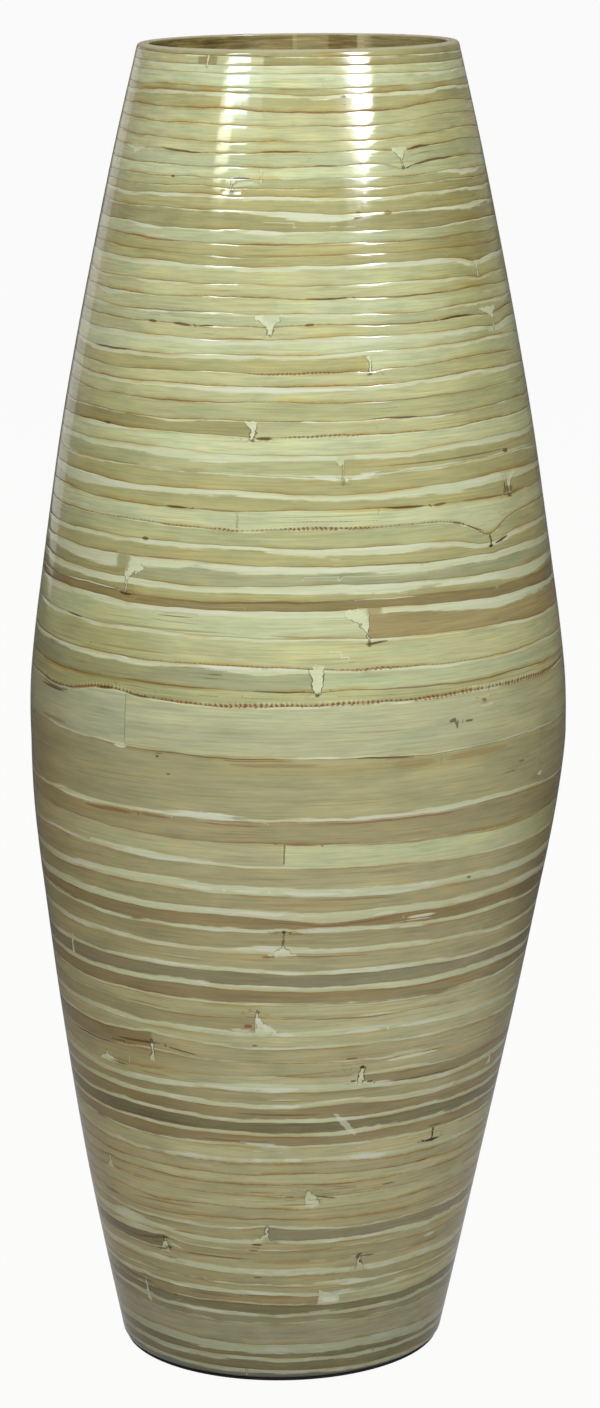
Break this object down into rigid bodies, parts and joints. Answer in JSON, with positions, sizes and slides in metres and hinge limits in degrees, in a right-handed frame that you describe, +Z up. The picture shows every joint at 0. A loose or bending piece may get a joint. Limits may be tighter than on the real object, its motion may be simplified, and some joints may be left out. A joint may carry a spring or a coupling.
{
  "type": "floor vase",
  "caption": "Tall swelling floor vase of wound and lacquered bamboo strips, open at the mouth, with a flat base board; holds dried flowers or branches.",
  "frame": {"origin": "on the floor, below the middle of the belly, which is the middle of the bounding box", "axes": "+Z up towards the mouth, -Y towards the front seen in the picture, +X to the right of that view"},
  "size_m": [0.2856, 0.2856, 0.7],
  "materials": {
    "bamboo": "clear gloss lacquer over split bamboo",
    "bamboo_inside": "clear gloss lacquer over stained bamboo",
    "board": "raw fibreboard",
    "base_black": "matt black fibre sheet"
  },
  "bodies": {
    "root": {"lower_strip_01": "bamboo", "lower_strip_02": "bamboo", "lower_strip_03": "bamboo", "lower_strip_04": "bamboo", "lower_strip_05": "bamboo", "lower_strip_06": "bamboo", "lower_strip_07": "bamboo", "lower_strip_08": "bamboo", "lower_strip_09": "bamboo", "lower_strip_10": "bamboo", "lower_strip_11": "bamboo", "lower_strip_12": "bamboo", "lower_strip_13": "bamboo", "lower_strip_14": "bamboo", "lower_strip_15": "bamboo", "lower_strip_16": "bamboo", "lower_strip_17": "bamboo", "lower_strip_18": "bamboo", "lower_strip_19": "bamboo", "upper_strip_01": "bamboo", "upper_strip_02": "bamboo", "upper_strip_03": "bamboo", "upper_strip_04": "bamboo", "upper_strip_05": "bamboo", "upper_strip_06": "bamboo", "upper_strip_07": "bamboo", "upper_strip_08": "bamboo", "upper_strip_09": "bamboo", "upper_strip_10": "bamboo", "upper_strip_11": "bamboo", "upper_strip_12": "bamboo", "upper_strip_13": "bamboo", "upper_strip_14": "bamboo", "upper_strip_15": "bamboo", "upper_strip_16": "bamboo", "upper_strip_17": "bamboo", "upper_strip_18": "bamboo", "upper_strip_19": "bamboo", "upper_strip_20": "bamboo", "belly_hoop_lower": "bamboo", "belly_hoop_upper": "bamboo", "mouth_hoop": "bamboo_inside", "base_board": "board", "base_sheet": "base_black"}
  },
  "joints": []
}
